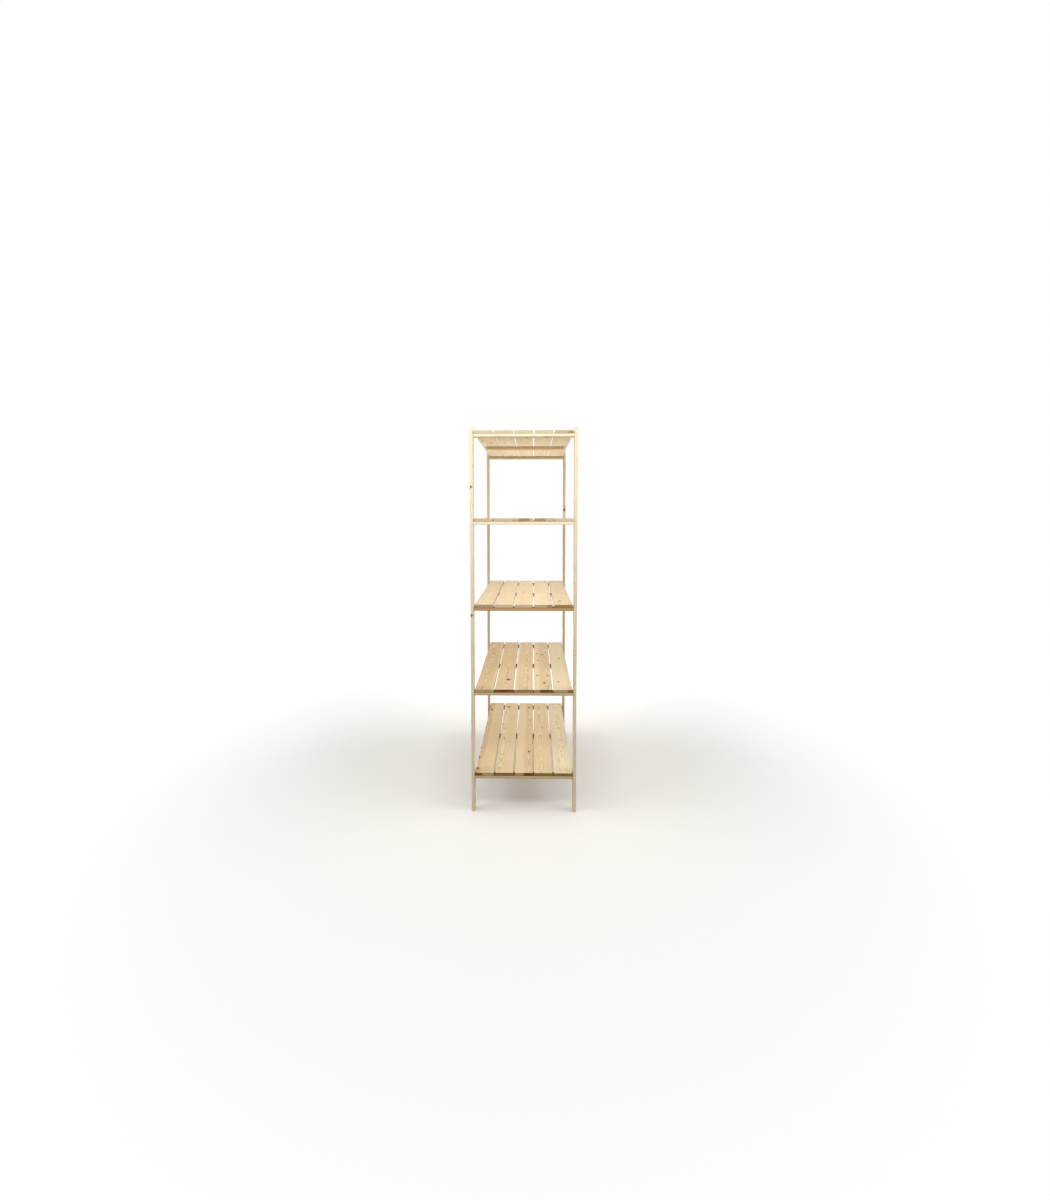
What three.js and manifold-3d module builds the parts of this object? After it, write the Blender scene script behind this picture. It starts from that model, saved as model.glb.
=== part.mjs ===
// A free-standing slatted rack for bread and bread trays, screwed together from planed pine boards.
// Four posts carry five fixed shelves. Each shelf is a row of long slats nailed on three flat rails.
// Millimetres, +Z up. X runs across the narrow end, Y along the slats, and the origin is on the floor
// under the middle of the rack.

import * as THREE from 'three';
import { mergeVertices } from 'three/addons/utils/BufferGeometryUtils.js';
import Module from 'manifold-3d';

// Overall sizes
const postLength = 2000;
const rackLength = 1000;
const lowestShelfTop = 210;
const postAboveTopShelf = 15;

// Board sections
const postThickness = 16;
const postDepth = 45;
const slatWidth = 95;
const slatThickness = 16;

// Shelf layout
const shelfCount = 5;
const slatsPerShelf = 5;
const slatGap = 7.5;
const slatToPostGap = 5;
const middleRailInset = 18;

// Planed boards have their long edges eased, and joints close to this clearance
const easedEdge = 2;
const edgeSteps = 3;
const seatClearance = 0.25;

// Countersunk wood screws, driven through the posts into the end grain of the rails
const screwLength = 60;
const screwHole = 4.5;
const screwHead = 9;
const screwSpacing = 20;
const pilotHole = 3;
const pilotSpare = 2;
const holeSides = 12;
const pilotSides = 8;

// Rails are cut from the same batten as the posts
const railThickness = postThickness;
const railDepth = postDepth;

// Sizes that follow from the values above
const slatFieldWidth = slatsPerShelf * slatWidth + (slatsPerShelf - 1) * slatGap;
const bayWidth = slatFieldWidth + 2 * slatToPostGap;
const rackWidth = bayWidth + 2 * postThickness;
const topShelfTop = postLength - postAboveTopShelf;
const shelfSpacing = (topShelfTop - lowestShelfTop) / (shelfCount - 1);
const railTop = -slatThickness - seatClearance;
const railCentre = railTop - railThickness / 2;
const railOffset = (rackLength - railDepth) / 2;
const postOffset = (rackLength - postDepth) / 2;
const countersinkDepth = (screwHead - screwHole) / 2;

const wasm = await Module();
wasm.setup();

// Pale planed pine, matt and unfinished
const postPine = new THREE.MeshStandardMaterial({ color: '#e6d3ae', roughness: 0.72, metalness: 0 });
const railPine = new THREE.MeshStandardMaterial({ color: '#d9bf92', roughness: 0.74, metalness: 0 });
const slatPine = new THREE.MeshStandardMaterial({ color: '#e1c9a0', roughness: 0.7, metalness: 0 });

function solidFrom(geometry) {
  const bare = geometry.clone();
  bare.deleteAttribute('normal');
  bare.deleteAttribute('uv');
  const merged = mergeVertices(bare);
  return new wasm.Manifold(new wasm.Mesh({
    numProp: 3,
    vertProperties: new Float32Array(merged.attributes.position.array),
    triVerts: new Uint32Array(merged.index.array),
  }));
}

function geometryFrom(solid) {
  const mesh = solid.getMesh();
  const geometry = new THREE.BufferGeometry();
  geometry.setAttribute('position', new THREE.BufferAttribute(mesh.vertProperties, 3));
  geometry.setIndex(new THREE.BufferAttribute(mesh.triVerts, 1));
  geometry.computeVertexNormals();
  return geometry;
}

// A board's cross-section: a rectangle about its centre with eased corners
function boardSection(width, height) {
  const r = Math.min(easedEdge, width / 3, height / 3);
  const x = width / 2 - r;
  const y = height / 2 - r;
  const section = new THREE.Shape();
  section.absarc(x, y, r, 0, Math.PI / 2);
  section.absarc(-x, y, r, Math.PI / 2, Math.PI);
  section.absarc(-x, -y, r, Math.PI, 1.5 * Math.PI);
  section.absarc(x, -y, r, 1.5 * Math.PI, 2 * Math.PI);
  section.closePath();
  return section;
}

// A board planed to that section and sawn square to its length, which runs along Z about the centre
function boardGeometry(width, height, length) {
  const board = new THREE.ExtrudeGeometry(boardSection(width, height), {
    depth: length,
    bevelEnabled: false,
    curveSegments: edgeSteps,
  });
  return board.translate(0, 0, -length / 2);
}

// The clearance hole and countersink of one screw. The axis is X and the head is flush with x = 0.
function screwHoleCutter() {
  const beyond = 1;
  const profile = [
    new THREE.Vector2(0, -postThickness - beyond),
    new THREE.Vector2(screwHole / 2, -postThickness - beyond),
    new THREE.Vector2(screwHole / 2, -countersinkDepth),
    new THREE.Vector2(screwHead / 2 + beyond, beyond),
    new THREE.Vector2(0, beyond),
  ];
  const cutter = new THREE.LatheGeometry(profile, holeSides);
  return solidFrom(cutter.rotateZ(-Math.PI / 2));
}

// The pilot hole of one screw in a rail's end, drilled along X from x = 0 and ending in a drill point
function pilotCutter() {
  const beyond = 1;
  const depth = screwLength - postThickness + pilotSpare;
  const profile = [
    new THREE.Vector2(0, -depth - pilotHole / 2),
    new THREE.Vector2(pilotHole / 2, -depth),
    new THREE.Vector2(pilotHole / 2, beyond),
    new THREE.Vector2(0, beyond),
  ];
  const cutter = new THREE.LatheGeometry(profile, pilotSides);
  return solidFrom(cutter.rotateZ(-Math.PI / 2));
}

function shelfTop(shelf) {
  return lowestShelfTop + shelf * shelfSpacing;
}

// Where a joint's screws sit along Y: side by side about the middle of the rail
function screwPlaces(end) {
  return [-0.5, 0.5].map((side) => end * railOffset + side * screwSpacing);
}

// A post with its rows of countersunk holes, in the rack's own frame. side is -1 on the left and 1 on
// the right, and end is -1 at the front and 1 at the rear.
function postGeometry(side, end) {
  const board = boardGeometry(postThickness, postDepth, postLength);
  board.translate(side * (bayWidth + postThickness) / 2, end * postOffset, postLength / 2);
  const hole = screwHoleCutter();
  const drill = side > 0 ? hole : hole.rotate([0, 0, 180]);
  let post = solidFrom(board);
  for (let shelf = 0; shelf < shelfCount; shelf += 1) {
    for (const y of screwPlaces(end)) {
      const place = [side * rackWidth / 2, y, shelfTop(shelf) + railCentre];
      post = post.subtract(drill.translate(place));
    }
  }
  return geometryFrom(post);
}

// A rail lying flat along X, about its centre
function railGeometry(length) {
  return boardGeometry(railThickness, railDepth, length).rotateY(Math.PI / 2);
}

// A front or rear rail, which fills the bay between two posts and has pilot holes in both ends
function endRailGeometry(end) {
  const length = bayWidth - 2 * seatClearance;
  const pilot = pilotCutter();
  let rail = solidFrom(railGeometry(length));
  for (const y of screwPlaces(end)) {
    const across = y - end * railOffset;
    rail = rail.subtract(pilot.translate([length / 2, across, 0]));
    rail = rail.subtract(pilot.rotate([0, 0, 180]).translate([-length / 2, across, 0]));
  }
  return geometryFrom(rail);
}

function addBoard(group, name, geometry, material, x, y, z) {
  const board = new THREE.Mesh(geometry, material);
  board.name = name;
  board.position.set(x, y, z);
  group.add(board);
}

const rack = new THREE.Group();

// Posts
const posts = new THREE.Group();
for (const [endName, end] of [['front', -1], ['rear', 1]]) {
  for (const [sideName, side] of [['left', -1], ['right', 1]]) {
    addBoard(posts, `post_${endName}_${sideName}`, postGeometry(side, end), postPine, 0, 0, 0);
  }
}
rack.add(posts);

// Shelves, numbered from the floor up, with slats numbered from left to right
const frontRail = endRailGeometry(-1);
const rearRail = endRailGeometry(1);
const middleRail = railGeometry(slatFieldWidth - 2 * middleRailInset);
const slat = boardGeometry(slatWidth, slatThickness, rackLength).rotateX(Math.PI / 2);
const slatPitch = slatWidth + slatGap;
for (let shelf = 0; shelf < shelfCount; shelf += 1) {
  const tier = new THREE.Group();
  const name = `shelf_${shelf + 1}`;
  tier.position.z = shelfTop(shelf);
  addBoard(tier, `${name}_rail_front`, frontRail, railPine, 0, -railOffset, railCentre);
  addBoard(tier, `${name}_rail_middle`, middleRail, railPine, 0, 0, railCentre);
  addBoard(tier, `${name}_rail_rear`, rearRail, railPine, 0, railOffset, railCentre);
  for (let i = 0; i < slatsPerShelf; i += 1) {
    const x = (i - (slatsPerShelf - 1) / 2) * slatPitch;
    addBoard(tier, `${name}_slat_${i + 1}`, slat, slatPine, x, 0, -slatThickness / 2);
  }
  rack.add(tier);
}

export default rack;
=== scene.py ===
# A tall free-standing slatted bread rack of planed pine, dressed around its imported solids, in metres.
import math
import random

import bpy
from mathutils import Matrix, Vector


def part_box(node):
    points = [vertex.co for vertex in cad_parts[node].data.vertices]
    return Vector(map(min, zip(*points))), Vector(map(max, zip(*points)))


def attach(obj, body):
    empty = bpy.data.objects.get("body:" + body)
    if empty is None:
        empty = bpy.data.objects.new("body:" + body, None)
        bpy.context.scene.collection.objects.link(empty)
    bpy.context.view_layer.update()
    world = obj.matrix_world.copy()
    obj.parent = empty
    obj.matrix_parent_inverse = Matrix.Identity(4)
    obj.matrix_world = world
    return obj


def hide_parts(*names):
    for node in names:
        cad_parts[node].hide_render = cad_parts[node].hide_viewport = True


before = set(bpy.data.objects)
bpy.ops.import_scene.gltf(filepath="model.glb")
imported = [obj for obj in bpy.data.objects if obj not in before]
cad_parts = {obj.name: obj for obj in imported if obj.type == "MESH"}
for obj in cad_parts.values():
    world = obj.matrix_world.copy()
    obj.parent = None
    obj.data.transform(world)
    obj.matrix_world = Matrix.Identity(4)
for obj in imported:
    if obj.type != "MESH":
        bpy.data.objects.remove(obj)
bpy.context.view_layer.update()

# Posts
# Four upright battens of planed pine, sawn to two metres and standing on their sawn ends.
# Each outer face is drilled and countersunk, two holes a shelf, for the screws that hold the rails.


def linear(hex_colour):
    """An sRGB hex colour as linear red, green, blue and alpha."""
    channels = [int(hex_colour[i:i + 2], 16) / 255 for i in (1, 3, 5)]
    return [c / 12.92 if c <= 0.04045 else ((c + 0.055) / 1.055) ** 2.4 for c in channels] + [1.0]


def add(tree, kind, inputs=None, stops=(), **settings):
    """Adds one node with its settings, its inputs as values or as links, and a ramp's stops as places from
    0 to 1 with hex colours. Returns the node's outputs."""
    node = tree.nodes.new(kind)
    for name, value in settings.items():
        setattr(node, name, value)
    for socket, value in (inputs or {}).items():
        if isinstance(value, bpy.types.NodeSocket):
            tree.links.new(value, node.inputs[socket])
        else:
            node.inputs[socket].default_value = value
    for number, (place, colour) in enumerate(stops):
        if number == len(node.color_ramp.elements):
            node.color_ramp.elements.new(place)
        node.color_ramp.elements[number].position = place
        node.color_ramp.elements[number].color = linear(colour)
    return node.outputs


KNOTS_PER_BOARD = 6
HALF_BOARD_MM = 8  # half the thickness of every board
FIRST_COLOUR, SECOND_COLOUR, MIXED_COLOUR = 6, 7, 2  # the colour sockets of a Mix node


def planed_pine():
    """Planed pine, left raw: matt and creamy, with tan growth rings, amber heartwood, brown knots and dark
    end grain, whose extra darkness on the low shelves is painted shade. Each board carries its own place in
    the log as attributes, all in millimetres, and a tone: below 0 it has darkened with age, and on the rails
    under the lower shelves it is lowered as painted shade; above 0 it is pale sapwood. Patterns are divided
    by their size."""
    material = bpy.data.materials.new("planed_pine")
    material.use_nodes = True
    tree = material.node_tree
    tree.nodes.clear()
    place = add(tree, "ShaderNodeAttribute", attribute_name="board_mm")["Vector"]
    heart = add(tree, "ShaderNodeAttribute", attribute_name="heart_mm")["Vector"]
    ring_width = add(tree, "ShaderNodeAttribute", attribute_name="ring_mm")["Fac"]
    heartwood = add(tree, "ShaderNodeAttribute", attribute_name="heartwood_mm")["Fac"]
    tone = add(tree, "ShaderNodeAttribute", attribute_name="tone")["Fac"]
    stain_and_shade = add(tree, "ShaderNodeAttribute", attribute_name="end_stain_and_shade")["Fac"]
    sawn_end = add(tree, "ShaderNodeAttribute", attribute_name="sawn_end")["Fac"]
    worn_and_shaded_edge = add(tree, "ShaderNodeAttribute", attribute_name="worn_and_shaded_edge")["Fac"]
    gap_shade = add(tree, "ShaderNodeAttribute", attribute_name="gap_shade")["Fac"]

    # The place in the log, whose pith wanders by some millimetres along its length
    in_log = add(tree, "ShaderNodeVectorMath", {0: place, 1: heart}, operation="SUBTRACT")[0]
    slow = add(tree, "ShaderNodeVectorMath", {0: in_log, 1: (250, 250, 238.1)}, operation="DIVIDE")[0]
    wander = add(tree, "ShaderNodeTexNoise", {"Vector": slow, "Scale": 1.0, "Detail": 3.0})["Color"]
    sway = add(tree, "ShaderNodeVectorMath", {0: wander, 1: (26, 26, 0), 2: (-13, -13, 0)},
               operation="MULTIPLY_ADD")[0]
    swayed = add(tree, "ShaderNodeVectorMath", {0: in_log, 1: sway}, operation="ADD")[0]
    across_log = add(tree, "ShaderNodeVectorMath", {0: swayed, 1: (1, 1, 0)}, operation="MULTIPLY")[0]
    from_pith = add(tree, "ShaderNodeVectorMath", {0: across_log}, operation="LENGTH")["Value"]
    along_log = add(tree, "ShaderNodeSeparateXYZ", {0: in_log})["Z"]
    tapered = add(tree, "ShaderNodeMath", {0: along_log, 1: 0.011, 2: from_pith}, operation="MULTIPLY_ADD")[0]

    # Distance to the nearest knot, in knot radii. A knot is a little longer along the grain, and it is the
    # foot of a branch, so it tapers from the bark side of the board towards the pith.
    beside_pith = add(tree, "ShaderNodeSeparateXYZ", {0: in_log})["Y"]
    from_heart = add(tree, "ShaderNodeMath", {0: beside_pith}, operation="ABSOLUTE")[0]
    heart_side = add(tree, "ShaderNodeSeparateXYZ", {0: heart})["Y"]
    heart_depth = add(tree, "ShaderNodeMath", {0: heart_side}, operation="ABSOLUTE")[0]
    bark_side = add(tree, "ShaderNodeMath", {0: heart_depth, 1: HALF_BOARD_MM}, operation="ADD")[0]
    branch_share = add(tree, "ShaderNodeMath", {0: from_heart, 1: bark_side}, operation="DIVIDE")[0]
    on_face = add(tree, "ShaderNodeVectorMath", {0: place, 1: (1, 0, 1)}, operation="MULTIPLY")[0]
    ragged = add(tree, "ShaderNodeVectorMath", {0: place, 1: (7.14, 7.14, 11.1)}, operation="DIVIDE")[0]
    rag = add(tree, "ShaderNodeTexNoise", {"Vector": ragged, "Scale": 1.0, "Detail": 3.0})["Fac"]
    nearest = None
    for number in range(KNOTS_PER_BOARD):
        knot = add(tree, "ShaderNodeAttribute", attribute_name=f"knot_{number}")["Vector"]
        part = add(tree, "ShaderNodeSeparateXYZ", {0: knot})
        centre = add(tree, "ShaderNodeCombineXYZ", {"X": part["X"], "Z": part["Y"]})[0]
        offset = add(tree, "ShaderNodeVectorMath", {0: on_face, 1: centre}, operation="SUBTRACT")[0]
        oval = add(tree, "ShaderNodeVectorMath", {0: offset, 1: (1, 1, 0.72)}, operation="MULTIPLY")[0]
        reach = add(tree, "ShaderNodeVectorMath", {0: oval}, operation="LENGTH")["Value"]
        branch = add(tree, "ShaderNodeMath", {0: part["Z"], 1: branch_share, 2: 0.4},
                     operation="MULTIPLY_ADD")[0]
        radii = add(tree, "ShaderNodeMath", {0: reach, 1: branch}, operation="DIVIDE")[0]
        if nearest is None:
            nearest = radii
        else:
            nearest = add(tree, "ShaderNodeMath", {0: nearest, 1: radii}, operation="MINIMUM")[0]
    uneven = add(tree, "ShaderNodeMath", {0: rag, 1: 0.7, 2: -0.35}, operation="MULTIPLY_ADD")[0]
    knot_reach = add(tree, "ShaderNodeMath", {0: nearest, 1: uneven}, operation="ADD")[0]
    square = add(tree, "ShaderNodeMath", {0: nearest, 1: nearest}, operation="MULTIPLY")[0]
    fall = add(tree, "ShaderNodeMath", {0: square, 1: -0.16}, operation="MULTIPLY")[0]
    bulge = add(tree, "ShaderNodeMath", {0: fall}, operation="EXPONENT")[0]
    bent = add(tree, "ShaderNodeMath", {0: bulge, 1: -11.0, 2: tapered}, operation="MULTIPLY_ADD")[0]

    # Growth rings: pale early wood that darkens into a thin line of late wood, then starts again
    rings = add(tree, "ShaderNodeMath", {0: bent, 1: ring_width}, operation="DIVIDE")[0]
    drift = add(tree, "ShaderNodeVectorMath", {0: in_log, 1: (20, 20, 166.7)}, operation="DIVIDE")[0]
    unsteady = add(tree, "ShaderNodeTexNoise", {"Vector": drift, "Scale": 1.0, "Detail": 2.0})["Fac"]
    phase = add(tree, "ShaderNodeMath", {0: unsteady, 1: 1.6, 2: rings}, operation="MULTIPLY_ADD")[0]
    year = add(tree, "ShaderNodeMath", {0: phase}, operation="FRACT")[0]
    late = add(tree, "ShaderNodeValToRGB", {0: year}, [
        (0.0, "#2a2a2a"), (0.35, "#3c3c3c"), (0.72, "#8c8c8c"), (0.93, "#f0f0f0"), (1.0, "#2a2a2a")])[0]
    late_share = add(tree, "ShaderNodeMath", {0: late, 1: 0.95}, operation="MULTIPLY")[0]
    blur = add(tree, "ShaderNodeMath", {0: rag, 1: 9.0, 2: from_pith}, operation="MULTIPLY_ADD")[0]
    past_heart = add(tree, "ShaderNodeMath", {0: blur, 1: heartwood}, operation="SUBTRACT")[0]
    in_heart = add(tree, "ShaderNodeMapRange", {
        "Value": past_heart, "From Min": -3.0, "From Max": 9.0, "To Min": 1.0, "To Max": 0.0},
        interpolation_type="SMOOTHSTEP")[0]
    late_colour = add(tree, "ShaderNodeMix", {
        0: in_heart, FIRST_COLOUR: linear("#c49b63"), SECOND_COLOUR: linear("#a06a35")},
        data_type="RGBA")[MIXED_COLOUR]
    grown = add(tree, "ShaderNodeMix", {
        0: late_share, FIRST_COLOUR: linear("#ecd9b1"), SECOND_COLOUR: late_colour},
        data_type="RGBA")[MIXED_COLOUR]

    # Heartwood is amber on the faces, and so is a board whose tone is below 0: darkened with age, and on the
    # rails under the lower shelves, painted shade
    aged_and_shaded = add(tree, "ShaderNodeMath", {0: tone, 1: -0.3}, operation="MULTIPLY", use_clamp=True)[0]
    amber = add(tree, "ShaderNodeMath", {0: in_heart, 1: 0.2, 2: aged_and_shaded}, operation="MULTIPLY_ADD")[0]
    hearted = add(tree, "ShaderNodeMix", {
        0: amber, FIRST_COLOUR: grown, SECOND_COLOUR: linear("#c49660")}, data_type="RGBA")[MIXED_COLOUR]

    # A board from the sapwood is paler, most of all in its early wood
    pale = add(tree, "ShaderNodeMath", {0: tone, 1: 0.44}, operation="MULTIPLY", use_clamp=True)[0]
    early_share = add(tree, "ShaderNodeMath", {0: late, 1: -0.6, 2: 1.0}, operation="MULTIPLY_ADD")[0]
    sapwood = add(tree, "ShaderNodeMath", {0: pale, 1: early_share}, operation="MULTIPLY")[0]
    wood = add(tree, "ShaderNodeMix", {
        0: sapwood, FIRST_COLOUR: hearted, SECOND_COLOUR: linear("#f5ecd3")}, data_type="RGBA")[MIXED_COLOUR]

    # Fibres about 0.6 mm wide, and slow changes of tone along the board
    strands = add(tree, "ShaderNodeVectorMath", {0: in_log, 1: (0.625, 0.625, 33.33)}, operation="DIVIDE")[0]
    fibre = add(tree, "ShaderNodeTexNoise", {"Vector": strands, "Scale": 1.0, "Detail": 3.0})["Fac"]
    patches = add(tree, "ShaderNodeVectorMath", {0: in_log, 1: (33.33, 33.33, 200)}, operation="DIVIDE")[0]
    patch = add(tree, "ShaderNodeTexNoise", {"Vector": patches, "Scale": 1.0, "Detail": 2.0})["Fac"]
    level = add(tree, "ShaderNodeMath", {0: tone, 1: 0.015, 2: 0.83}, operation="MULTIPLY_ADD")[0]
    fibred = add(tree, "ShaderNodeMath", {0: fibre, 1: 0.2, 2: level}, operation="MULTIPLY_ADD")[0]
    lightness = add(tree, "ShaderNodeMath", {0: patch, 1: 0.16, 2: fibred}, operation="MULTIPLY_ADD")[0]
    face = add(tree, "ShaderNodeVectorMath", {0: wood, "Scale": lightness}, operation="SCALE")[0]

    # Knots: a dark core inside a black bark ring, with an amber halo in the wood around it
    knot_place = add(tree, "ShaderNodeMath", {0: knot_reach, 1: 0.5}, operation="MULTIPLY")[0]
    knot_colour = add(tree, "ShaderNodeValToRGB", {0: knot_place}, [
        (0.0, "#5b371d"), (0.28, "#7c4f2a"), (0.44, "#3a200f"), (0.56, "#a06a37"), (0.9, "#cf9e62")])[0]
    knot_cover = add(tree, "ShaderNodeValToRGB", {0: knot_place}, [
        (0.0, "#ffffff"), (0.46, "#f4f4f4"), (0.58, "#a8a8a8"), (1.0, "#000000")])[0]
    knotted = add(tree, "ShaderNodeMix", {
        0: knot_cover, FIRST_COLOUR: face, SECOND_COLOUR: knot_colour}, data_type="RGBA")[MIXED_COLOUR]

    # Sawn ends: tan end grain with darker ring arcs, stained from amber to dark brown through the heartwood,
    # and darkened more on the lower shelves as painted shade for ends that stand in shade
    soaked = add(tree, "ShaderNodeMath", {0: in_heart, 1: 0.62, 2: 0.38}, operation="MULTIPLY_ADD")[0]
    blotchy = add(tree, "ShaderNodeMath", {0: rag, 1: 1.1, 2: 0.4}, operation="MULTIPLY_ADD")[0]
    blotch = add(tree, "ShaderNodeMath", {0: soaked, 1: blotchy}, operation="MULTIPLY")[0]
    end_darkened = add(tree, "ShaderNodeMath", {0: blotch, 1: stain_and_shade}, operation="MULTIPLY")[0]
    end_wood = add(tree, "ShaderNodeValToRGB", {0: end_darkened}, [
        (0.0, "#d6c5a5"), (0.6, "#987745"), (1.0, "#5b340d")])[0]
    arcs = add(tree, "ShaderNodeMath", {0: late, 1: -0.4, 2: 1.09}, operation="MULTIPLY_ADD")[0]
    end_colour = add(tree, "ShaderNodeVectorMath", {0: end_wood, "Scale": arcs}, operation="SCALE")[0]
    cut = add(tree, "ShaderNodeMix", {
        0: sawn_end, FIRST_COLOUR: knotted, SECOND_COLOUR: end_colour}, data_type="RGBA")[MIXED_COLOUR]

    # The eased edges darken to amber in patches some centimetres long: partly wear from handling, partly
    # painted shade along the gaps between the boards
    edge_patch_place = add(tree, "ShaderNodeVectorMath", {0: place, 1: (20, 20, 40)}, operation="DIVIDE")[0]
    edge_patch_noise = add(tree, "ShaderNodeTexNoise", {"Vector": edge_patch_place, "Scale": 1.0, "Detail": 3.0})["Fac"]
    patchy = add(tree, "ShaderNodeMapRange", {
        "Value": edge_patch_noise, "From Min": 0.38, "From Max": 0.62, "To Min": 0.15, "To Max": 0.6})[0]
    edge_wear_and_shade = add(tree, "ShaderNodeMath", {0: worn_and_shaded_edge, 1: patchy}, operation="MULTIPLY")[0]
    worn_and_shaded = add(tree, "ShaderNodeMix", {
        0: edge_wear_and_shade, FIRST_COLOUR: cut, SECOND_COLOUR: linear("#a67c49")}, data_type="RGBA")[MIXED_COLOUR]

    # Painted shade: the rails' tops, where the gaps between the slats show them, are darkened to a near-black
    # brown in mottled patches, standing for the shade down in the gaps
    shade_mottle = add(tree, "ShaderNodeMath", {0: rag, 1: 0.5, 2: 0.6},
                 operation="MULTIPLY_ADD", use_clamp=True)[0]
    gap_shaded = add(tree, "ShaderNodeMath", {0: gap_shade, 1: shade_mottle}, operation="MULTIPLY")[0]
    colour = add(tree, "ShaderNodeMix", {
        0: gap_shaded, FIRST_COLOUR: worn_and_shaded, SECOND_COLOUR: linear("#2f2013")}, data_type="RGBA")[MIXED_COLOUR]

    # Late wood stands a little proud of the planed face, and is a little smoother. The saw has left ridges
    # across the ends, drawn 1.4 mm apart so that they show. At scale 1 the waves are 2 pi / 20 apart.
    relief = add(tree, "ShaderNodeMath", {0: late, 1: 0.7, 2: fibre}, operation="MULTIPLY_ADD")[0]
    ridge_spacing_mm = 1.4
    ridge_scale = 2 * math.pi / 20 / ridge_spacing_mm
    ridge = add(tree, "ShaderNodeTexWave", {
        "Vector": place, "Scale": ridge_scale, "Distortion": 1.6, "Detail": 2.0})["Fac"]
    sawn_ridge = add(tree, "ShaderNodeMath", {0: ridge, 1: sawn_end}, operation="MULTIPLY")[0]
    height = add(tree, "ShaderNodeMath", {0: sawn_ridge, 1: 0.6, 2: relief}, operation="MULTIPLY_ADD")[0]
    bump = add(tree, "ShaderNodeBump", {"Height": height, "Strength": 0.35, "Distance": 0.0003})[0]
    rough = add(tree, "ShaderNodeMath", {0: late, 1: -0.12, 2: 0.72}, operation="MULTIPLY_ADD")[0]
    shader = add(tree, "ShaderNodeBsdfPrincipled", {
        "Base Color": colour, "Roughness": rough, "IOR": 1.5, "Specular IOR Level": 0.2, "Normal": bump})[0]
    add(tree, "ShaderNodeOutputMaterial", {"Surface": shader})
    return material


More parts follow.
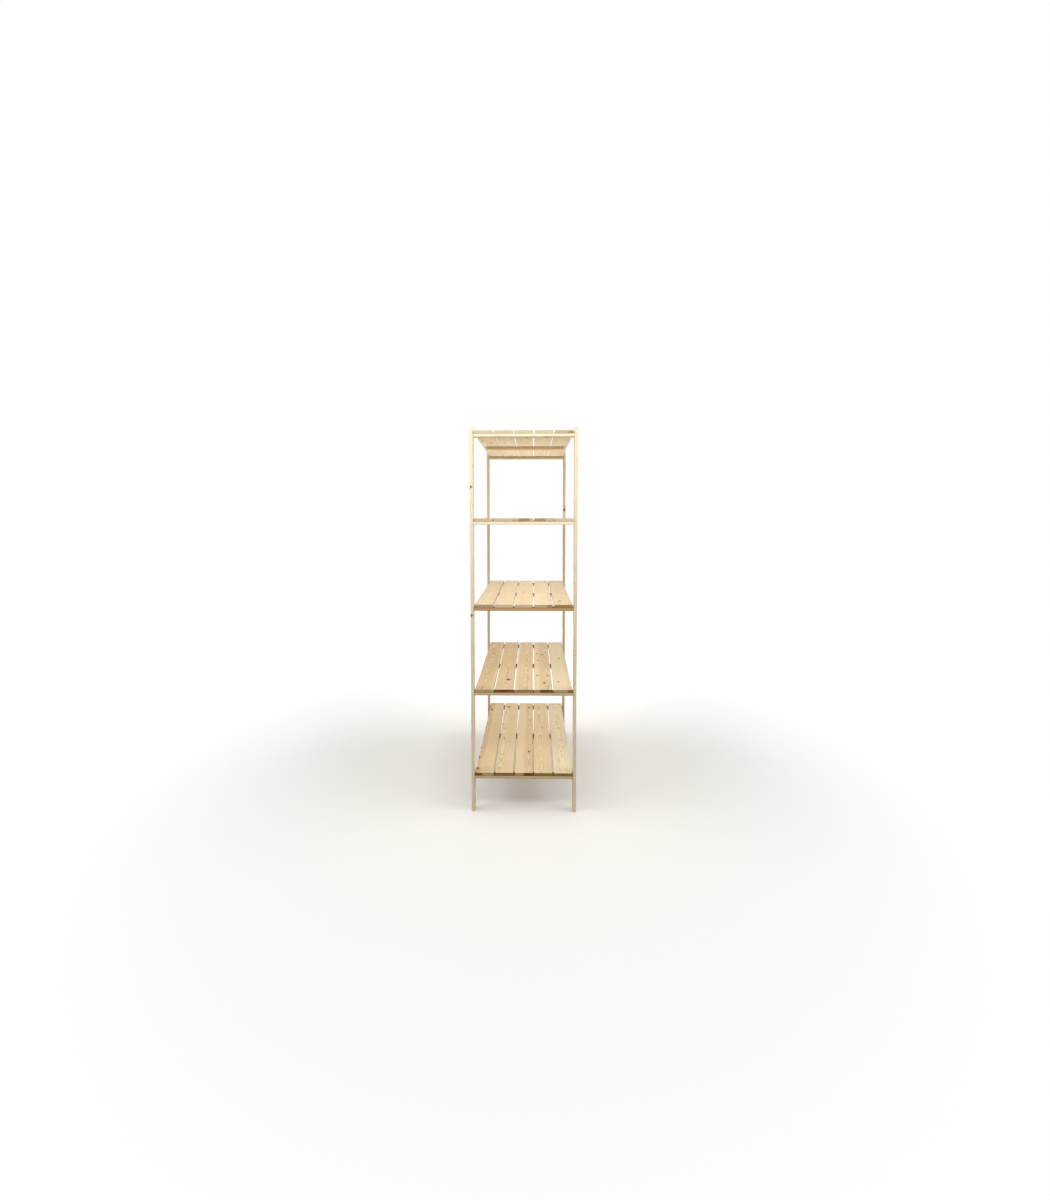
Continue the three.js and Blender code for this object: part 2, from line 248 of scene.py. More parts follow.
def planed_board_tree():
    """A board with eased long edges and a fine arris round its sawn ends. It is made with its width along X,
    its thickness along Y and its length along Z, drilled, marked with its place in the log and then laid."""
    tree = bpy.data.node_groups.new("planed_board", "GeometryNodeTree")
    sizes = {
        "Width": "Float", "Thickness": "Float", "Length": "Float", "Eased Edge": "Float", "Arris": "Float",
        "Turn": "Vector", "Place": "Vector", "Material": "Material",
        "Hole Rows": "Int", "First Hole": "Float", "Hole Rise": "Float", "Hole Spacing": "Float",
        "Countersink": "Float", "Drilled Face": "Float", "Gap Shade Face": "Float",
    }
    marks = {
        "heart_mm": "Vector", "ring_mm": "Float", "heartwood_mm": "Float", "tone": "Float",
        "end_stain_and_shade": "Float",
    }
    marks.update({f"knot_{number}": "Vector" for number in range(KNOTS_PER_BOARD)})
    for name, kind in {**sizes, **marks}.items():
        tree.interface.new_socket(name, in_out="INPUT", socket_type=f"NodeSocket{kind}")
    tree.interface.new_socket("Geometry", in_out="OUTPUT", socket_type="NodeSocketGeometry")
    given = add(tree, "NodeGroupInput")

    # The section is drawn along the board, short by an arris at each end
    half = add(tree, "ShaderNodeMath", {0: given["Length"], 1: 0.5}, operation="MULTIPLY")[0]
    inner = add(tree, "ShaderNodeMath", {0: half, 1: given["Arris"]}, operation="SUBTRACT")[0]
    lower = add(tree, "ShaderNodeMath", {0: inner, 1: -1.0}, operation="MULTIPLY")[0]
    start = add(tree, "ShaderNodeCombineXYZ", {"Z": lower})[0]
    end = add(tree, "ShaderNodeCombineXYZ", {"Z": inner})[0]
    line = add(tree, "GeometryNodeCurvePrimitiveLine", {"Start": start, "End": end})[0]
    outline = add(tree, "GeometryNodeCurvePrimitiveQuadrilateral", {
        "Width": given["Width"], "Height": given["Thickness"]})[0]
    section = add(tree, "GeometryNodeFilletCurve", {
        "Curve": outline, "Radius": given["Eased Edge"], "Count": 4}, mode="POLY")[0]
    bar = add(tree, "GeometryNodeCurveToMesh", {
        "Curve": line, "Profile Curve": section, "Fill Caps": True})[0]

    # The sawn ends, drawn in by the arris
    normal = add(tree, "GeometryNodeInputNormal")[0]
    facing = add(tree, "ShaderNodeSeparateXYZ", {0: normal})
    lengthwise = add(tree, "ShaderNodeMath", {0: facing["Z"]}, operation="ABSOLUTE")[0]
    is_end = add(tree, "FunctionNodeCompare", {0: lengthwise, 1: 0.9}, operation="GREATER_THAN")[0]
    drawn = add(tree, "GeometryNodeExtrudeMesh", {
        "Mesh": bar, "Selection": is_end, "Offset Scale": given["Arris"]}, mode="FACES")
    inset_wide = add(tree, "ShaderNodeMath", {0: given["Arris"], 1: -2.0, 2: given["Width"]},
                     operation="MULTIPLY_ADD")[0]
    inset_thick = add(tree, "ShaderNodeMath", {0: given["Arris"], 1: -2.0, 2: given["Thickness"]},
                      operation="MULTIPLY_ADD")[0]
    share_wide = add(tree, "ShaderNodeMath", {0: inset_wide, 1: given["Width"]}, operation="DIVIDE")[0]
    share_thick = add(tree, "ShaderNodeMath", {0: inset_thick, 1: given["Thickness"]}, operation="DIVIDE")[0]
    share = add(tree, "ShaderNodeCombineXYZ", {"X": share_wide, "Y": share_thick, "Z": 1.0})[0]
    position = add(tree, "GeometryNodeInputPosition")[0]
    inset = add(tree, "ShaderNodeVectorMath", {0: position, 1: share}, operation="MULTIPLY")[0]
    board = add(tree, "GeometryNodeSetPosition", {
        "Geometry": drawn["Mesh"], "Selection": drawn["Top"], "Position": inset})[0]

    # Two columns of countersinks in one face, each a right-angled cone that starts just off the face
    clear = 0.001
    off_face = add(tree, "ShaderNodeMath", {0: given["Thickness"], 1: 0.5, 2: clear},
                   operation="MULTIPLY_ADD")[0]
    hole_y = add(tree, "ShaderNodeMath", {0: off_face, 1: given["Drilled Face"]}, operation="MULTIPLY")[0]
    cone_size = add(tree, "ShaderNodeMath", {0: given["Countersink"], 1: 0.5, 2: clear},
                    operation="MULTIPLY_ADD")[0]
    cone = add(tree, "GeometryNodeMeshCone", {
        "Vertices": 32, "Radius Top": 0.0, "Radius Bottom": cone_size, "Depth": cone_size})[0]
    tilt = add(tree, "ShaderNodeMath", {0: given["Drilled Face"], 1: math.pi / 2}, operation="MULTIPLY")[0]
    aim = add(tree, "ShaderNodeCombineXYZ", {"X": tilt})[0]
    rise = add(tree, "ShaderNodeCombineXYZ", {"Z": given["Hole Rise"]})[0]
    columns = []
    for side in (-0.5, 0.5):
        hole_x = add(tree, "ShaderNodeMath", {0: given["Hole Spacing"], 1: side}, operation="MULTIPLY")[0]
        first = add(tree, "ShaderNodeCombineXYZ", {"X": hole_x, "Y": hole_y, "Z": given["First Hole"]})[0]
        columns.append(add(tree, "GeometryNodeMeshLine", {
            "Count": given["Hole Rows"], "Start Location": first, "Offset": rise}, mode="OFFSET")[0])
    both = add(tree, "GeometryNodeJoinGeometry")
    for column in reversed(columns):
        tree.links.new(column, both[0].node.inputs[0])
    drills = add(tree, "GeometryNodeInstanceOnPoints", {
        "Points": both[0], "Instance": cone, "Rotation": aim})[0]
    cones = add(tree, "GeometryNodeRealizeInstances", {"Geometry": drills})[0]
    drilled = add(tree, "GeometryNodeMeshBoolean", {"Mesh 1": board, "Mesh 2": cones},
                  operation="DIFFERENCE")[0]
    has_holes = add(tree, "FunctionNodeCompare", {2: given["Hole Rows"], 3: 0},
                    data_type="INT", operation="GREATER_THAN")[0]
    finished = add(tree, "GeometryNodeSwitch", {"Switch": has_holes, "False": board, "True": drilled},
                   input_type="GEOMETRY")[0]

    # The marks that the pine reads
    in_mm = add(tree, "ShaderNodeVectorMath", {0: position, "Scale": 1000.0}, operation="SCALE")[0]
    marked = add(tree, "GeometryNodeStoreNamedAttribute", {
        "Geometry": finished, "Name": "board_mm", "Value": in_mm},
        data_type="FLOAT_VECTOR", domain="POINT")[0]
    end_share = add(tree, "ShaderNodeMapRange", {"Value": lengthwise, "From Min": 0.75, "From Max": 0.95})[0]
    sideways = add(tree, "ShaderNodeMath", {0: facing["X"]}, operation="ABSOLUTE")[0]
    flatwise = add(tree, "ShaderNodeMath", {0: facing["Y"]}, operation="ABSOLUTE")[0]
    flat_face = add(tree, "ShaderNodeMath", {0: sideways, 1: flatwise}, operation="MAXIMUM")[0]
    square_on = add(tree, "ShaderNodeMath", {0: flat_face, 1: lengthwise}, operation="MAXIMUM")[0]
    edge_share = add(tree, "ShaderNodeMapRange", {"Value": square_on, "From Min": 0.99, "From Max": 0.88})[0]
    # Painted shade: a rail's top face is marked here, to be darkened for the shade it lies in under the gaps
    # between the slats
    gap_shade_share = add(tree, "ShaderNodeMath", {0: facing["Y"], 1: given["Gap Shade Face"]},
                     operation="MULTIPLY", use_clamp=True)[0]
    for name, share in (("sawn_end", end_share), ("worn_and_shaded_edge", edge_share), ("gap_shade", gap_shade_share)):
        marked = add(tree, "GeometryNodeStoreNamedAttribute", {
            "Geometry": marked, "Name": name, "Value": share}, data_type="FLOAT", domain="FACE")[0]
    for name, kind in marks.items():
        marked = add(tree, "GeometryNodeStoreNamedAttribute", {
            "Geometry": marked, "Name": name, "Value": given[name]},
            data_type="FLOAT_VECTOR" if kind == "Vector" else "FLOAT", domain="POINT")[0]
    laid = add(tree, "GeometryNodeTransform", {
        "Geometry": marked, "Translation": given["Place"], "Rotation": given["Turn"]})[0]
    real = add(tree, "GeometryNodeRealizeInstances", {"Geometry": laid})[0]
    coated = add(tree, "GeometryNodeSetMaterial", {"Geometry": real, "Material": given["Material"]})[0]
    add(tree, "NodeGroupOutput", {"Geometry": coated})
    return tree


def made_by(tree, name, values, points=None):
    """A plain mesh object that a Geometry Nodes tree makes from named values."""
    piece = bpy.data.objects.new(name, points or bpy.data.meshes.new(name))
    bpy.context.scene.collection.objects.link(piece)
    modifier = piece.modifiers.new("made", "NODES")
    modifier.node_group = tree
    for item in tree.interface.items_tree:
        if item.in_out == "INPUT" and item.name in values:
            modifier[item.identifier] = values[item.name]
    graph = bpy.context.evaluated_depsgraph_get()
    mesh = bpy.data.meshes.new_from_object(
        piece.evaluated_get(graph), preserve_all_data_layers=True, depsgraph=graph)
    piece.modifiers.clear()
    piece.data = mesh
    mesh.name = name
    return piece


def cut_from_log(log, knots=(), **chosen):
    """Where in a log a board was sawn, in millimetres: its pith, ring width, heartwood, knots and tone."""
    wood = {
        "heart_mm": (log.uniform(-35, 35), log.choice((-1, 1)) * log.uniform(18, 75), log.uniform(-9e3, 9e3)),
        "ring_mm": log.uniform(3.0, 5.2),
        "heartwood_mm": log.uniform(-30, 20),
        "tone": log.uniform(-0.6, 0.6),
        "end_stain_and_shade": log.uniform(0.2, 0.7),
    }
    far_away = (0.0, 1e6, 1.0)
    spare = list(knots) + [far_away] * KNOTS_PER_BOARD
    wood.update({f"knot_{number}": spare[number] for number in range(KNOTS_PER_BOARD)})
    wood.update(chosen)
    return wood


pine = planed_pine()
board_tree = planed_board_tree()
logs = random.Random(20)
eased_edge, arris = 0.002, 0.0006
screw_spacing, countersink = 0.020, 0.009
shelf_names = [f"shelf_{number}" for number in range(1, 6)]
screw_heights = [sum(corner.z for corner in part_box(f"{shelf}_rail_front")) / 2 for shelf in shelf_names]
post_turn = (0.0, 0.0, math.pi / 2)
# Knots: millimetres across from the board's middle, along from its middle, and radius
post_knots = {
    "post_front_left": [(-20, 700, 4.5), (-19, 41, 6), (6, -420, 6), (14, 310, 5)],
    "post_front_right": [(5, 480, 5), (-12, -150, 6), (9, -700, 7)],
    "post_rear_left": [(10, 250, 6), (-14, -330, 7), (4, 800, 5)],
    "post_rear_right": [(-19, 600, 9), (-15, 622, 8), (8, -60, 6), (-6, -610, 7)],
}
post_tones = {"post_front_left": 1.7, "post_front_right": 1.3, "post_rear_left": 1.0, "post_rear_right": 0.5}
for post, knots in post_knots.items():
    low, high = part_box(post)
    size, middle = high - low, (low + high) / 2
    piece = made_by(board_tree, f"{post}_batten", {
        "Width": size.y, "Thickness": size.x, "Length": size.z, "Eased Edge": eased_edge, "Arris": arris,
        "Turn": post_turn, "Place": middle, "Material": pine,
        "Hole Rows": len(screw_heights), "First Hole": screw_heights[0] - middle.z,
        "Hole Rise": screw_heights[1] - screw_heights[0], "Hole Spacing": screw_spacing,
        "Countersink": countersink, "Drilled Face": -1.0 if middle.x > 0 else 1.0,
        **cut_from_log(logs, knots, tone=post_tones[post], heart_mm=(
            4.0, math.copysign(14.0, middle.x), logs.uniform(-9e3, 9e3)))})
    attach(piece, "root")
    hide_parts(post)

# Rails
# Three flat battens under each shelf, from the same stock as the posts. The front and rear ones fill the
# space between two posts and are screwed through them; the middle one only ties the slats together.
rail_turn = (math.pi / 2, 0.0, math.pi / 2)
rail_tones = {"shelf_1_rail_front": -0.7, "shelf_2_rail_front": -0.7, "shelf_3_rail_front": -2.6,
              "shelf_4_rail_front": 2.1, "shelf_5_rail_front": 1.9}
# Painted shade: the middle and rear rails under the lower shelves get a darker tone for the shade they lie
# in, seen through the gaps; the top shelf's rails, whose undersides show, stay pale
top_rail_tone, shaded_rail_tone = 0.3, -0.8
for shelf in shelf_names:
    for station in ("front", "middle", "rear"):
        rail = f"{shelf}_rail_{station}"
        low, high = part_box(rail)
        size, middle = high - low, (low + high) / 2
        knots = [(logs.uniform(-16, 16), logs.uniform(-230, 230), logs.uniform(3, 7)) for _ in range(2)]
        wood = cut_from_log(logs, knots)
        wood["tone"] = rail_tones.get(rail, top_rail_tone if shelf == shelf_names[-1] else shaded_rail_tone)
        # Painted shade: each rail's top face is darkened where the gaps between the slats show it
        piece = made_by(board_tree, f"{rail}_batten", {
            "Width": size.y, "Thickness": size.z, "Length": size.x, "Eased Edge": eased_edge, "Arris": arris,
            "Turn": rail_turn, "Place": middle, "Material": pine, "Gap Shade Face": 1.0, **wood})
        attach(piece, "root")
        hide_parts(rail)

# Slats
# Five long planed boards a shelf, laid side by side with narrow gaps and nailed down on three rails.
# They come from mixed logs, so tone, knots and the stain on their sawn ends differ from board to board.
slat_turn = (-math.pi / 2, 0.0, 0.0)
slat_knots = {
    "shelf_1_slat_1": [(-33, 372, 7), (-50, -215, 7), (-50, -330, 9), (-49, -455, 12)],
    "shelf_1_slat_2": [(-18, 426, 10), (-41, 127, 4), (-14, -291, 3)],
    "shelf_1_slat_3": [(26, -259, 6), (21, 412, 6)],
    "shelf_1_slat_4": [(2, 72, 3)],
    "shelf_2_slat_2": [(14, -337, 9), (24, 394, 5)],
    "shelf_2_slat_4": [(-29, 197, 5), (5, 176, 5), (-22, 41, 4), (-30, -267, 5), (29, -266, 5), (7, -391, 6)],
    "shelf_2_slat_5": [(7, 86, 5), (-19, -373, 4)],
    "shelf_3_slat_3": [(-12, -105, 8), (-4, -59, 9), (5, -8, 7), (-24, -443, 4)],
    "shelf_3_slat_5": [(-13, -382, 7)],
    "shelf_5_slat_1": [(15, -176, 6)],
    "shelf_5_slat_3": [(-18, -277, 6)],
    "shelf_5_slat_5": [(-19, -230, 6), (4, 236, 6)],
}
# Boards sawn through the heart of the log, whose ends are stained: pith across and through, and its reach
slat_hearts = {
    "shelf_1_slat_1": {"heart_mm": (-46, 14, 410), "heartwood_mm": 36, "ring_mm": 5.6, "end_stain_and_shade": 0.8},
    "shelf_1_slat_3": {"heart_mm": (30, 2, 1730), "heartwood_mm": 32, "end_stain_and_shade": 1.0},
    "shelf_2_slat_1": {"heart_mm": (-10, 30, 2440), "heartwood_mm": 60, "end_stain_and_shade": 0.3},
    "shelf_2_slat_2": {"heart_mm": (4, 12, 3150), "heartwood_mm": 70, "end_stain_and_shade": 0.9},
    "shelf_2_slat_3": {"heart_mm": (8, 40, 3900), "heartwood_mm": 66, "end_stain_and_shade": 0.5},
    "shelf_2_slat_4": {"heart_mm": (24, 6, 4700), "heartwood_mm": 46, "end_stain_and_shade": 0.9},
    "shelf_2_slat_5": {"heart_mm": (48, 4, 5480), "heartwood_mm": 26, "end_stain_and_shade": 0.7},
    "shelf_3_slat_1": {"heart_mm": (0, 18, 6210), "heartwood_mm": 64, "end_stain_and_shade": 0.36},
    "shelf_3_slat_4": {"heart_mm": (44, 10, 7040), "heartwood_mm": 26, "end_stain_and_shade": 0.5},
    "shelf_3_slat_5": {"heart_mm": (2, 6, 7800), "heartwood_mm": 62, "end_stain_and_shade": 0.56},
    "shelf_4_slat_3": {"heart_mm": (6, 8, 8460), "heartwood_mm": 30, "end_stain_and_shade": 0.5},
    "shelf_4_slat_4": {"heart_mm": (-24, 8, 9230), "heartwood_mm": 34, "end_stain_and_shade": 0.45},
    "shelf_5_slat_5": {"heart_mm": (36, 14, 9990), "heartwood_mm": 22, "end_stain_and_shade": 0.55},
}
# The ends' darkening on each shelf, strongest near the floor, is painted shade for the low ends that stand in
# shade
shelf_end_darkening = {"shelf_1": 1.65, "shelf_2": 0.4, "shelf_3": 0.09, "shelf_4": 0.15, "shelf_5": 0.08}
slat_tones = {"shelf_1_slat_1": -0.3, "shelf_1_slat_2": 0.0, "shelf_1_slat_5": 0.9, "shelf_2_slat_2": 0.2,
              "shelf_2_slat_5": 1.0, "shelf_3_slat_1": 1.1, "shelf_3_slat_2": 0.7, "shelf_3_slat_3": 0.7,
              "shelf_3_slat_4": 1.2, "shelf_3_slat_5": 1.1}
# The top shelf is sapwood, and its underside shows
shelf_tones = {"shelf_5": 1.4}
for shelf in shelf_names:
    for number in range(1, 6):
        slat = f"{shelf}_slat_{number}"
        low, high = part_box(slat)
        size, middle = high - low, (low + high) / 2
        wood = cut_from_log(logs, slat_knots.get(slat, ()))
        wood["tone"] = slat_tones.get(slat, wood["tone"] + shelf_tones.get(shelf, 0.0))
        wood["end_stain_and_shade"] = shelf_end_darkening[shelf] + logs.uniform(-0.1, 0.1)
        wood.update(slat_hearts.get(slat, {}))
        piece = made_by(board_tree, f"{slat}_board", {
            "Width": size.x, "Thickness": size.z, "Length": size.y, "Eased Edge": eased_edge, "Arris": arris,
            "Turn": slat_turn, "Place": middle, "Material": pine, **wood})
        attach(piece, "root")
        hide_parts(slat)

# Screws
# Countersunk cross-recess wood screws, two through the post into each front and rear rail end.
# Zinc-plated steel, driven a hair below the face, each stopped at its own angle.


def zinc_plated_steel():
    """Zinc-plated steel: a soft grey metal, with faint clouds some 3 mm wide in its passivated surface."""
    material = bpy.data.materials.new("zinc_plated_steel")
    material.use_nodes = True
    tree = material.node_tree
    tree.nodes.clear()
    where = add(tree, "ShaderNodeTexCoord")["Object"]
    clouds_per_metre = 1 / 0.003
    cloud = add(tree, "ShaderNodeTexNoise", {
        "Vector": where, "Scale": clouds_per_metre, "Detail": 3.0})["Fac"]
    colour = add(tree, "ShaderNodeMix", {
        0: cloud, FIRST_COLOUR: linear("#a7a59c"), SECOND_COLOUR: linear("#cfcabb")},
        data_type="RGBA")[MIXED_COLOUR]
    rough = add(tree, "ShaderNodeMath", {0: cloud, 1: 0.25, 2: 0.28}, operation="MULTIPLY_ADD")[0]
    shader = add(tree, "ShaderNodeBsdfPrincipled", {
        "Base Color": colour, "Metallic": 1.0, "Roughness": rough})[0]
    add(tree, "ShaderNodeOutputMaterial", {"Surface": shader})
    return material


def screw_tree():
    """A countersunk head with a cross recess at every point, facing along the point's drive direction."""
    tree = bpy.data.node_groups.new("countersunk_screws", "GeometryNodeTree")
    tree.interface.new_socket("Points", in_out="INPUT", socket_type="NodeSocketGeometry")
    for name, kind in {"Head": "Float", "Neck": "Float", "Depth": "Float", "Sink": "Float",
                       "Recess Length": "Float", "Recess Width": "Float", "Recess Depth": "Float",
                       "Seed": "Int", "Material": "Material"}.items():
        tree.interface.new_socket(name, in_out="INPUT", socket_type=f"NodeSocket{kind}")
    tree.interface.new_socket("Geometry", in_out="OUTPUT", socket_type="NodeSocketGeometry")
    given = add(tree, "NodeGroupInput")
    top = add(tree, "ShaderNodeMath", {0: given["Head"], 1: 0.5}, operation="MULTIPLY")[0]
    neck = add(tree, "ShaderNodeMath", {0: given["Neck"], 1: 0.5}, operation="MULTIPLY")[0]
    cone = add(tree, "GeometryNodeMeshCone", {
        "Vertices": 24, "Radius Top": top, "Radius Bottom": neck, "Depth": given["Depth"]})[0]
    slot_size = add(tree, "ShaderNodeCombineXYZ", {
        "X": given["Recess Length"], "Y": given["Recess Width"], "Z": given["Recess Depth"]})[0]
    slot = add(tree, "GeometryNodeMeshCube", {"Size": slot_size})[0]
    lift = add(tree, "ShaderNodeCombineXYZ", {"Z": given["Depth"]})[0]
    recessed = cone
    for turn in (0.0, math.pi / 2):
        bit = add(tree, "GeometryNodeTransform", {
            "Geometry": slot, "Translation": lift, "Rotation": (0.0, 0.0, turn)})[0]
        recessed = add(tree, "GeometryNodeMeshBoolean", {"Mesh 1": recessed, "Mesh 2": bit},
                       operation="DIFFERENCE")[0]
    below = add(tree, "ShaderNodeMath", {0: given["Depth"], 1: given["Sink"]}, operation="ADD")[0]
    drop = add(tree, "ShaderNodeMath", {0: below, 1: -1.0}, operation="MULTIPLY")[0]
    seat = add(tree, "ShaderNodeCombineXYZ", {"Z": drop})[0]
    seated = add(tree, "GeometryNodeTransform", {"Geometry": recessed, "Translation": seat})[0]
    drive = add(tree, "GeometryNodeInputNamedAttribute", {"Name": "drive"}, data_type="FLOAT_VECTOR")[0]
    facing = add(tree, "FunctionNodeAlignRotationToVector", {"Vector": drive}, axis="Z")[0]
    stop = add(tree, "FunctionNodeRandomValue", {2: 0.0, 3: math.pi, "Seed": given["Seed"]},
               data_type="FLOAT")[1]
    twist = add(tree, "FunctionNodeAxisAngleToRotation", {"Axis": (0.0, 0.0, 1.0), "Angle": stop})[0]
    turned = add(tree, "FunctionNodeRotateRotation", {"Rotation": facing, "Rotate By": twist},
                 rotation_space="LOCAL")[0]
    driven = add(tree, "GeometryNodeInstanceOnPoints", {
        "Points": given["Points"], "Instance": seated, "Rotation": turned})[0]
    real = add(tree, "GeometryNodeRealizeInstances", {"Geometry": driven})[0]
    plated = add(tree, "GeometryNodeSetMaterial", {"Geometry": real, "Material": given["Material"]})[0]
    add(tree, "NodeGroupOutput", {"Geometry": plated})
    return tree


def points_mesh(name, places):
    """A mesh of loose points, one for each fastener."""
    mesh = bpy.data.meshes.new(name)
    mesh.from_pydata(places, [], [])
    return mesh


zinc = zinc_plated_steel()
screw_places, screw_drives = [], []
for post in post_knots:
    low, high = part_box(post)
    side = 1.0 if low.x > 0 else -1.0
    for height in screw_heights:
        for offset in (-0.5, 0.5):
            along = (low.y + high.y) / 2 + offset * screw_spacing
            screw_places.append((high.x if side > 0 else low.x, along, height))
            screw_drives.append((side, 0.0, 0.0))
screw_points = points_mesh("screw_points", screw_places)
head_facing = screw_points.attributes.new("drive", "FLOAT_VECTOR", "POINT")
for point, drive in zip(head_facing.data, screw_drives):
    point.vector = drive
screws = made_by(screw_tree(), "rail_screws", {
    "Head": 0.0082, "Neck": 0.0044, "Depth": 0.0019, "Sink": 0.0003, "Recess Length": 0.0042,
    "Recess Width": 0.0010, "Recess Depth": 0.0024, "Seed": 3, "Material": zinc}, screw_points)
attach(screws, "root")

# Nails
# Small round wire nails of zinc-plated steel, two through each slat into each rail.
# They are driven by hand, almost flush, so the heads are only specks on the boards.


def nail_tree():
    """A low round nail head at every point, standing a hair above the board."""
    tree = bpy.data.node_groups.new("wire_nails", "GeometryNodeTree")
    tree.interface.new_socket("Points", in_out="INPUT", socket_type="NodeSocketGeometry")
    for name, kind in {"Head": "Float", "Crown": "Float", "Thickness": "Float", "Proud": "Float",
                       "Seed": "Int", "Material": "Material"}.items():
        tree.interface.new_socket(name, in_out="INPUT", socket_type=f"NodeSocket{kind}")
    tree.interface.new_socket("Geometry", in_out="OUTPUT", socket_type="NodeSocketGeometry")
    given = add(tree, "NodeGroupInput")
    rim = add(tree, "ShaderNodeMath", {0: given["Head"], 1: 0.5}, operation="MULTIPLY")[0]
    crown = add(tree, "ShaderNodeMath", {0: given["Crown"], 1: 0.5}, operation="MULTIPLY")[0]
    head = add(tree, "GeometryNodeMeshCone", {
        "Vertices": 12, "Radius Top": crown, "Radius Bottom": rim, "Depth": given["Thickness"]})[0]
    sunk = add(tree, "ShaderNodeMath", {0: given["Proud"], 1: given["Thickness"]}, operation="SUBTRACT")[0]
    drop = add(tree, "ShaderNodeCombineXYZ", {"Z": sunk})[0]
    seated = add(tree, "GeometryNodeTransform", {"Geometry": head, "Translation": drop})[0]
    most_lean = 0.08
    lean = add(tree, "FunctionNodeRandomValue", {
        "Min": (-most_lean, -most_lean, 0.0), "Max": (most_lean, most_lean, 2 * math.pi),
        "Seed": given["Seed"]}, data_type="FLOAT_VECTOR")[0]
    driven = add(tree, "GeometryNodeInstanceOnPoints", {
        "Points": given["Points"], "Instance": seated, "Rotation": lean})[0]
    real = add(tree, "GeometryNodeRealizeInstances", {"Geometry": driven})[0]
    plated = add(tree, "GeometryNodeSetMaterial", {"Geometry": real, "Material": given["Material"]})[0]
    add(tree, "NodeGroupOutput", {"Geometry": plated})
    return tree


nail_reach, nail_stray = 0.030, 0.002
nail_places = []
for shelf in shelf_names:
    for number in range(1, 6):
        slat_low, slat_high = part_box(f"{shelf}_slat_{number}")
        for station in ("front", "middle", "rear"):
            rail_low, rail_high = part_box(f"{shelf}_rail_{station}")
            for side in (-1, 1):
                across = (slat_low.x + slat_high.x) / 2 + side * nail_reach
                along = (rail_low.y + rail_high.y) / 2
                nail_places.append((across + logs.uniform(-nail_stray, nail_stray),
                                    along + logs.uniform(-nail_stray, nail_stray), slat_high.z))
nails = made_by(nail_tree(), "slat_nails", {
    "Head": 0.0030, "Crown": 0.00228, "Thickness": 0.0006, "Proud": 0.0002, "Seed": 5, "Material": zinc},
    points_mesh("nail_points", nail_places))
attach(nails, "root")

# Floor
# A plain pale studio floor of matt paint, level with the sawn feet of the posts.
# It keeps the rack's shadow, and fades into the white background a few steps away.


def pale_floor():
    """Matt pale floor paint. Far from the rack it turns into the white of the background. It throws back
    less light than it shows, so that the low parts of the rack keep their shade."""
    material = bpy.data.materials.new("pale_floor")
    material.use_nodes = True
    tree = material.node_tree
    tree.nodes.clear()
    where = add(tree, "ShaderNodeTexCoord")["Object"]
    distance = add(tree, "ShaderNodeVectorMath", {0: where}, operation="LENGTH")["Value"]
    by_camera = add(tree, "ShaderNodeLightPath")["Is Camera Ray"]
    fade_start, fade_end = 0.8, 2.4
    fade = add(tree, "ShaderNodeMapRange", {"Value": distance, "From Min": fade_start, "From Max": fade_end},
               interpolation_type="SMOOTHSTEP")[0]
    tint = add(tree, "ShaderNodeMix", {
        0: by_camera, FIRST_COLOUR: linear("#8f8375"), SECOND_COLOUR: linear("#f1efeb")},
        data_type="RGBA")[MIXED_COLOUR]
    paint = add(tree, "ShaderNodeBsdfPrincipled", {"Base Color": tint, "Roughness": 0.7})[0]
    white = add(tree, "ShaderNodeEmission", {"Color": linear("#ffffff"), "Strength": 1.0})[0]
    shown = add(tree, "ShaderNodeMath", {0: fade, 1: by_camera}, operation="MULTIPLY")[0]
    mixed = add(tree, "ShaderNodeMixShader", {0: shown, 1: paint, 2: white})[0]
    add(tree, "ShaderNodeOutputMaterial", {"Surface": mixed})
    return material


floor_reach = 30.0
floor_mesh = bpy.data.meshes.new("studio_floor")
floor_corners = [(x * floor_reach, y * floor_reach, 0.0) for x, y in ((-1, -1), (1, -1), (1, 1), (-1, 1))]
floor_mesh.from_pydata(floor_corners, [], [(0, 1, 2, 3)])
floor_mesh.materials.append(pale_floor())
studio_floor = bpy.data.objects.new("studio_floor", floor_mesh)
bpy.context.scene.collection.objects.link(studio_floor)

# Light
# Soft even studio light: a white surround, a broad lamp from each long side, and a softbox high in front
# whose light falls off down the rack's narrow end. Low ones at the sides and rear light it from below.


def aimed_lamp(name, kind, place, target, power):
    """A lamp at a place, turned to a target."""
    lamp = bpy.data.lights.new(name, kind)
    lamp.energy = power
    holder = bpy.data.objects.new(name, lamp)
    holder.location = place
    holder.rotation_euler = (Vector(target) - Vector(place)).to_track_quat("-Z", "Y").to_euler()
    holder.visible_camera = False
    bpy.context.scene.collection.objects.link(holder)
    return lamp


for name, side in (("left", -1), ("right", 1)):
    broad = aimed_lamp(f"{name}_broad_lamp", "SUN", (side * 4.0, -0.6, 2.9), (0.0, 0.0, 0.0), 1.3)
    broad.angle = math.radians(50)
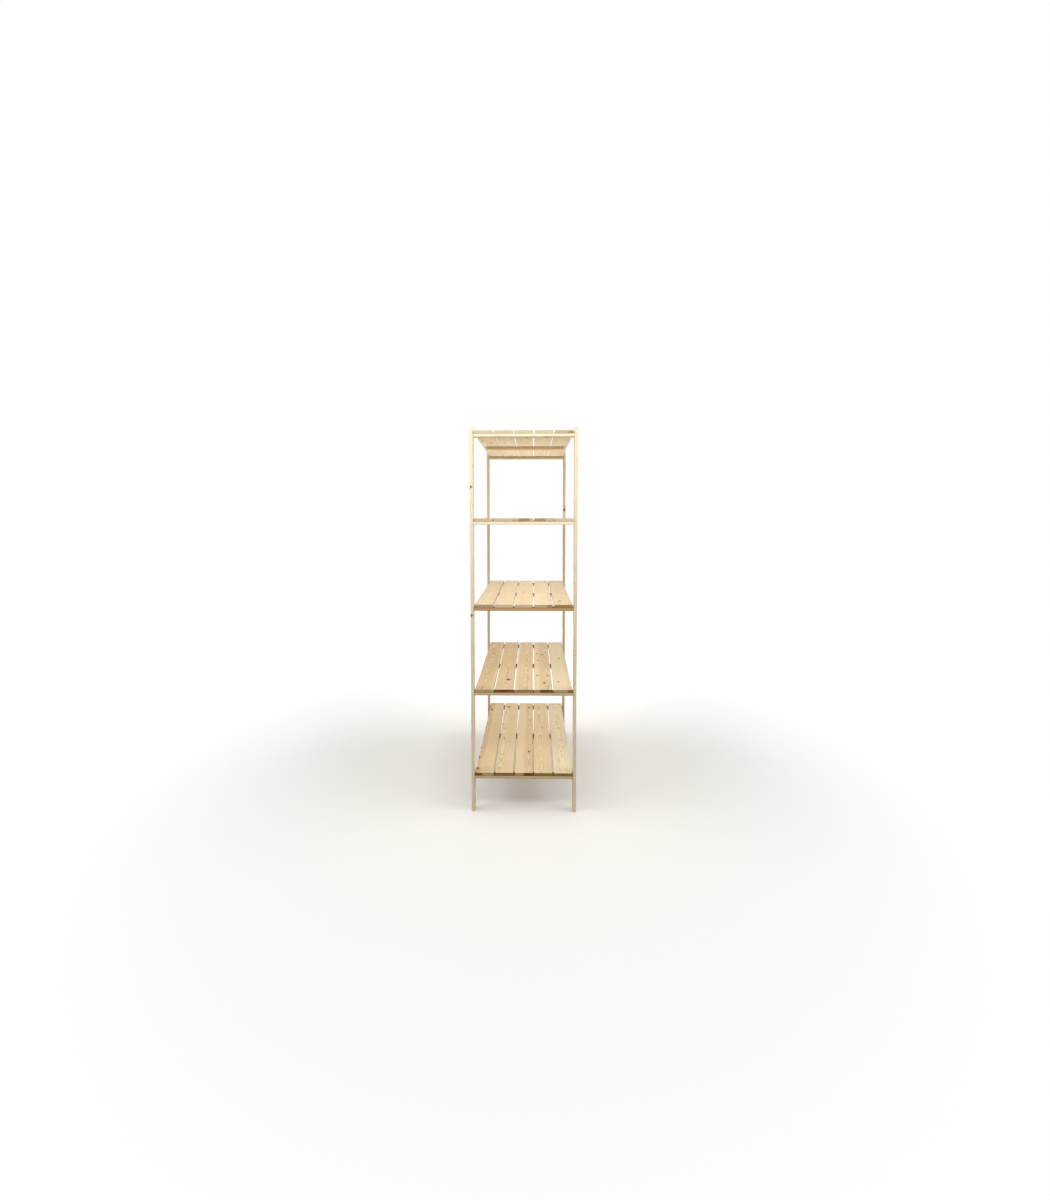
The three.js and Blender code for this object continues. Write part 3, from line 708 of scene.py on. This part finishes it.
# Each softbox: place, target, power in watts, width, height, and spread in degrees
softboxes = {
    "front_softbox": ((0.0, -1.6, 2.15), (0.0, -0.5, 1.7), 12.5, 1.4, 0.6, 180),
    "rear_floor_bounce": ((0.0, 2.6, 0.3), (0.0, 0.0, 1.7), 42, 2.6, 0.5, 180),
    "left_floor_bounce": ((-2.4, -0.1, 0.35), (0.0, -0.1, 1.97), 1.2, 1.6, 0.4, 50),
    "right_floor_bounce": ((2.4, -0.1, 0.35), (0.0, -0.1, 1.97), 1.2, 1.6, 0.4, 50),
}
for name, (place, target, power, width, height, spread) in softboxes.items():
    softbox = aimed_lamp(name, "AREA", place, target, power)
    softbox.shape, softbox.size, softbox.size_y = "RECTANGLE", width, height
    softbox.spread = math.radians(spread)
world = bpy.data.worlds.new("studio_surround")
world.use_nodes = True
surround = world.node_tree
surround.nodes.clear()
path = add(surround, "ShaderNodeLightPath")
seen = add(surround, "ShaderNodeMath", {0: path["Is Camera Ray"], 1: path["Is Glossy Ray"]},
           operation="MAXIMUM")[0]
direction = add(surround, "ShaderNodeTexCoord")["Generated"]
upwards = add(surround, "ShaderNodeSeparateXYZ", {0: direction})["Z"]
# The surround brightens upwards to some 37 degrees, where the height of its direction is 0.6
level_glow, overhead_glow, full_height = 0.14, 0.48, 0.6
rising = add(surround, "ShaderNodeMapRange", {
    "Value": upwards, "From Min": 0.0, "From Max": full_height,
    "To Min": level_glow, "To Max": overhead_glow})[0]
glow = add(surround, "ShaderNodeBackground", {"Color": linear("#ffffff"), "Strength": rising})[0]
backdrop = add(surround, "ShaderNodeBackground", {"Color": linear("#ffffff"), "Strength": 1.0})[0]
around = add(surround, "ShaderNodeMixShader", {0: seen, 1: glow, 2: backdrop})[0]
add(surround, "ShaderNodeOutputWorld", {"Surface": around})
bpy.context.scene.world = world
bpy.context.scene.view_settings.view_transform = "Standard"

# Camera
# At a standing eye height, square on to the narrow end and a little right of the middle.
# The lens and its shift give the photograph's framing, in pixels of its own frame.
frame_high = 1200
focal_px, horizon_shift_px = 505.1, 53.6
lens = bpy.data.cameras.new("eye")
lens.sensor_width = 36.0  # of the frame's long side, which is its height
lens.lens = focal_px / frame_high * lens.sensor_width
lens.shift_y = -horizon_shift_px / frame_high
eye = bpy.data.objects.new("eye", lens)
eye.location = (0.047, -3.074, 1.542)
eye_turn, eye_tilt = math.radians(0.893), math.radians(3.206)
eye.rotation_euler = (math.pi / 2 - eye_tilt, 0.0, eye_turn)
bpy.context.scene.collection.objects.link(eye)
bpy.context.scene.camera = eye
